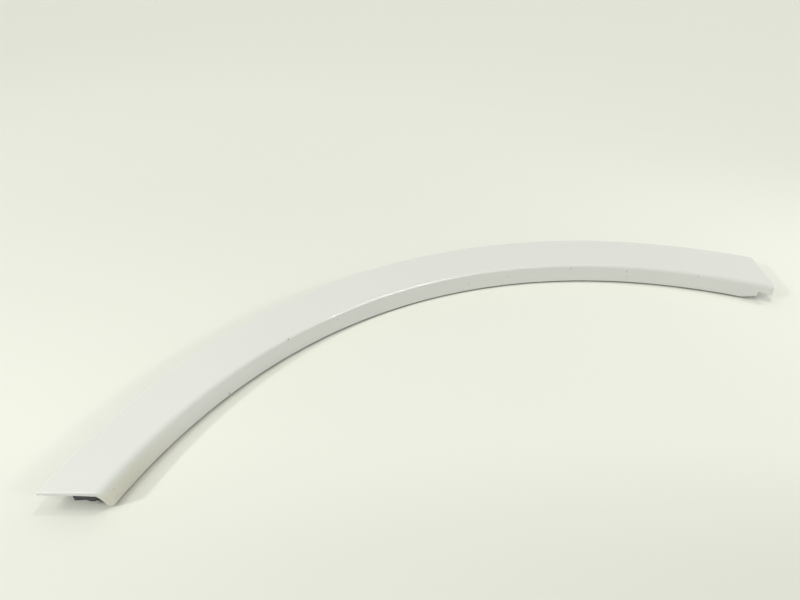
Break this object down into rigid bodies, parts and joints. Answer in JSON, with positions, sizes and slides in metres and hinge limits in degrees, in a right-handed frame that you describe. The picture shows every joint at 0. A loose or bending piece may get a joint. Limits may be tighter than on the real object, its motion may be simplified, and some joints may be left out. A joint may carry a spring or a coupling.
{
  "type": "wheel arch trim",
  "caption": "Curved L-section painted trim for the edge of a wheel opening, with a flat face, a turned-in lip, cut ends, and push-in clips with sealing rings on its back.",
  "frame": {"origin": "middle of the bounding box's underside, on the surface the trim lies on, face up", "axes": "+X along the arch from the bumper end to the door end, +Y up the car from the wheel's axis to the crown of the arch, +Z out of the painted face"},
  "size_m": [0.5921, 0.3294, 0.02],
  "materials": {
    "painted_plastic": "white gloss paint with clear coat over black moulded plastic, with small chips and specks along the lip",
    "clip_plastic": "matt black moulded polyamide",
    "seal_rubber": "soft dull black foam rubber"
  },
  "bodies": {
    "root": {"moulding": "painted_plastic", "clip_1": "clip_plastic", "clip_2": "clip_plastic", "clip_3": "clip_plastic", "clip_4": "clip_plastic", "clip_5": "clip_plastic", "seal_1": "seal_rubber", "seal_2": "seal_rubber", "seal_3": "seal_rubber", "seal_4": "seal_rubber", "seal_5": "seal_rubber"}
  },
  "joints": []
}
